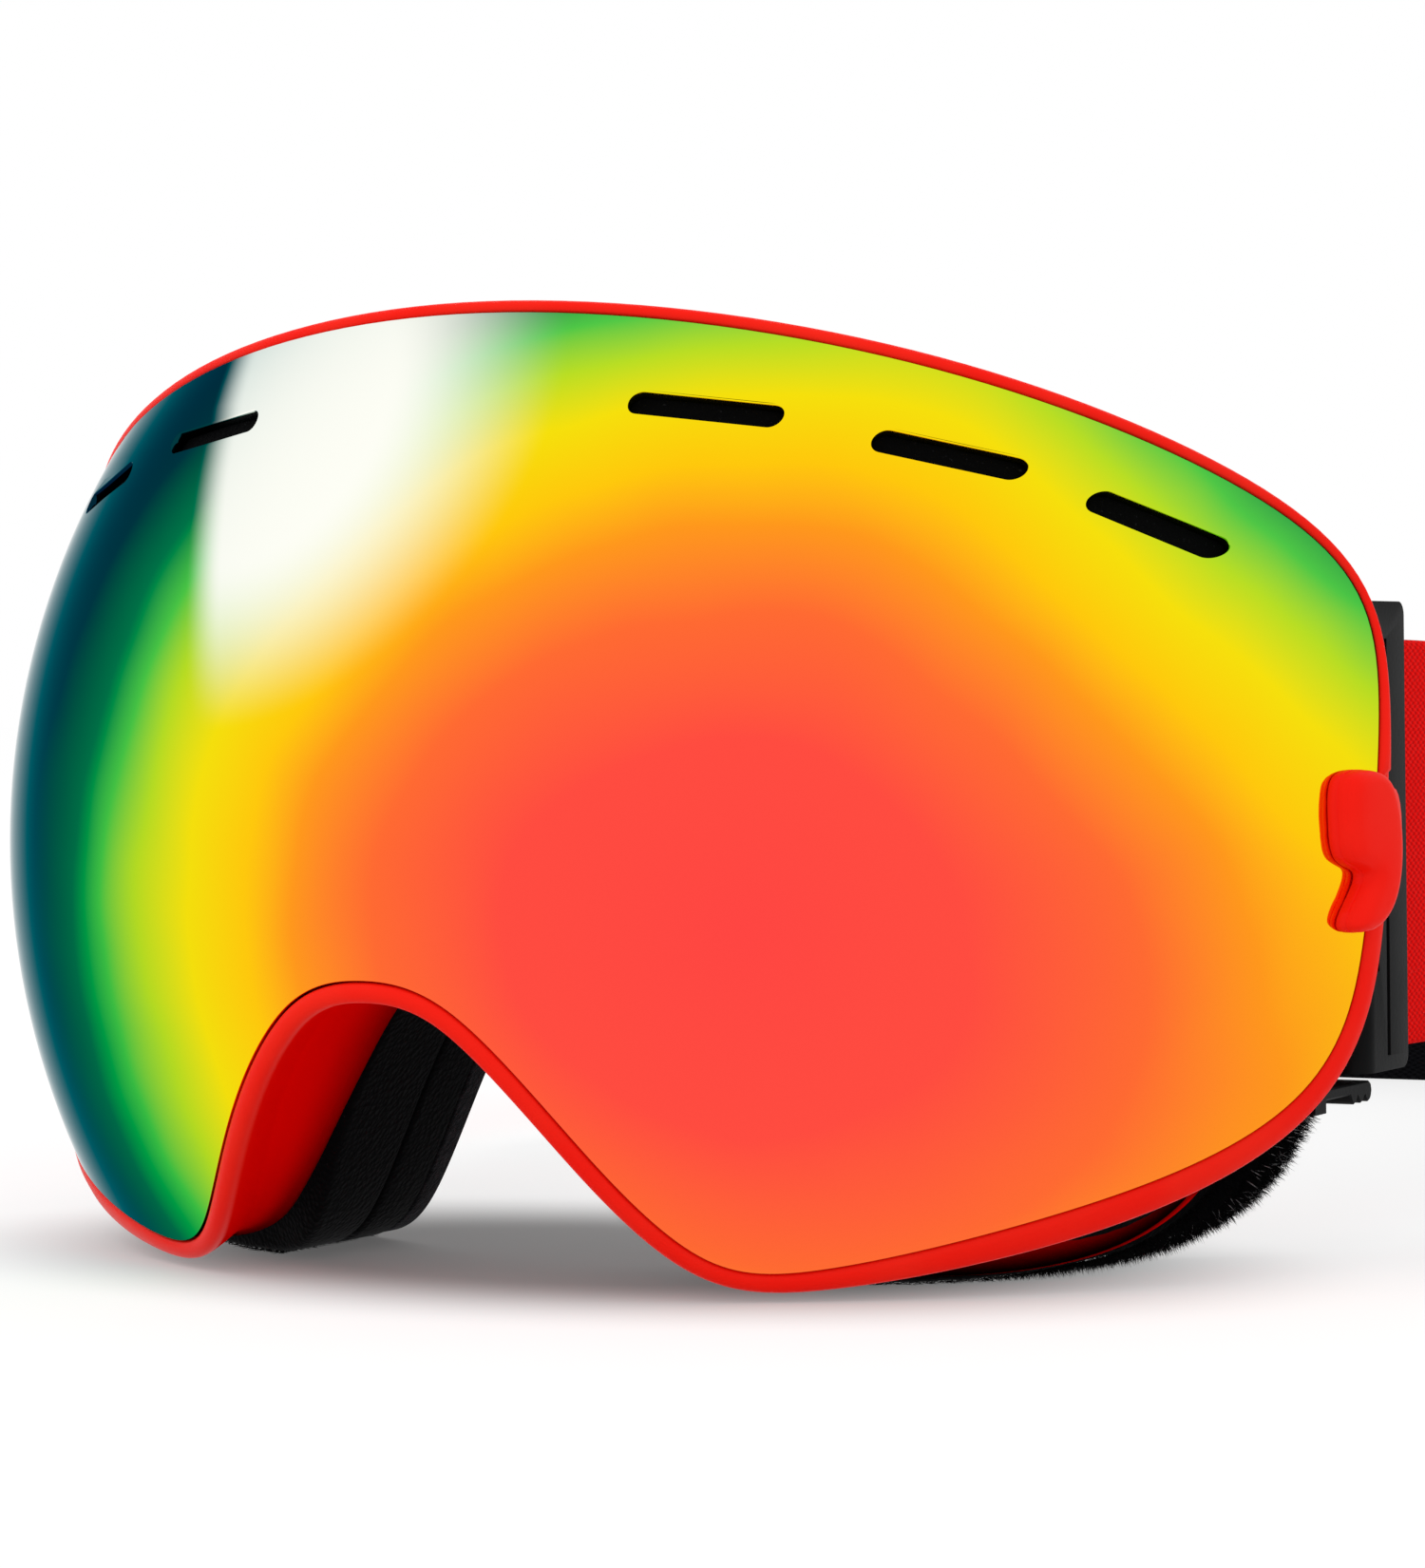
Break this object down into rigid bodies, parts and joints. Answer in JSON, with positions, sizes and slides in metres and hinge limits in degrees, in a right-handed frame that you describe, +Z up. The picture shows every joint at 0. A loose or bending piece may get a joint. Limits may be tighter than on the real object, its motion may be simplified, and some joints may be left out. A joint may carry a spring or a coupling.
{
  "type": "ski goggles",
  "caption": "Frameless-look ski goggles with a spherical mirrored lens, vented rim, face foam, side latches, hinged outriggers and an adjustable elastic strap.",
  "frame": {"origin": "centre of the footprint, on the table that the foam and the back of the strap rest on", "axes": "+Z up, -Y the way the lens looks, +X to the wearer's left"},
  "size_m": [0.1768, 0.288, 0.1028],
  "materials": {
    "mirror_lens": "mirror coated",
    "clear_lens": "gloss",
    "red_plastic": "satin",
    "black_plastic": "satin",
    "foam": "matte",
    "fleece": "matte",
    "strap": "knit",
    "silicone": "satin",
    "steel": "satin"
  },
  "bodies": {
    "frame": {"frame_shell": "red_plastic", "brow_vent_foam": "foam", "sill_vent_foam_left": "foam", "sill_vent_foam_right": "foam", "face_foam_base": "foam", "face_foam_soft": "foam", "face_fleece": "fleece", "outrigger_pin_left": "steel", "outrigger_pin_right": "steel", "latch_pin_left": "steel", "latch_pin_right": "steel", "strap_band": "strap", "grip_beads": "silicone"},
    "lens": {"outer_lens": "mirror_lens", "inner_lens": "clear_lens", "lens_gasket": "foam", "lens_vent_pads": "foam"},
    "latch_left": {"latch_left": "red_plastic"},
    "release_left": {"release_tab_left": "black_plastic"},
    "outrigger_left": {"outrigger_left": "black_plastic", "strap_loop_left": "strap"},
    "slider_left": {"strap_slider_left": "black_plastic", "strap_tail_left": "strap"},
    "latch_right": {"latch_right": "red_plastic"},
    "release_right": {"release_tab_right": "black_plastic"},
    "outrigger_right": {"outrigger_right": "black_plastic", "strap_loop_right": "strap"},
    "slider_right": {"strap_slider_right": "black_plastic", "strap_tail_right": "strap"}
  },
  "joints": [
    {"name": "lens_release", "type": "slide", "parent": "frame", "child": "lens", "axis": [0, -1, 0], "range_m": [0, 0.045]},
    {"name": "latch_swing_left", "type": "hinge", "parent": "frame", "child": "latch_left", "pos_m": [0.08317, -0.07571, 0.04711], "axis": [0, 0, 1], "range_deg": [0, 75]},
    {"name": "tab_pull_left", "type": "slide", "parent": "frame", "child": "release_left", "axis": [0, 1, 0], "range_m": [0, 0.003]},
    {"name": "outrigger_hinge_left", "type": "hinge", "parent": "frame", "child": "outrigger_left", "pos_m": [0.07882, -0.07116, 0.04556], "axis": [0, 0, -1], "range_deg": [-3, 32]},
    {"name": "strap_adjust_left", "type": "slide", "parent": "frame", "child": "slider_left", "axis": [0, 0.9951, -0.0993], "range_m": [0, 0.025]},
    {"name": "latch_swing_right", "type": "hinge", "parent": "frame", "child": "latch_right", "pos_m": [-0.08317, -0.07571, 0.04711], "axis": [0, 0, -1], "range_deg": [0, 75]},
    {"name": "tab_pull_right", "type": "slide", "parent": "frame", "child": "release_right", "axis": [0, 1, 0], "range_m": [0, 0.003]},
    {"name": "outrigger_hinge_right", "type": "hinge", "parent": "frame", "child": "outrigger_right", "pos_m": [-0.07882, -0.07116, 0.04556], "axis": [0, 0, 1], "range_deg": [-3, 32]},
    {"name": "strap_adjust_right", "type": "slide", "parent": "frame", "child": "slider_right", "axis": [0, 0.9951, -0.0993], "range_m": [0, 0.025]}
  ],
  "couplings": [
    {"joint": "latch_swing_left", "follows": "lens_release", "rad_per_m": 29.086},
    {"joint": "tab_pull_left", "follows": "lens_release", "ratio": 0.06666},
    {"joint": "latch_swing_right", "follows": "lens_release", "rad_per_m": 29.086},
    {"joint": "tab_pull_right", "follows": "lens_release", "ratio": 0.06666}
  ]
}
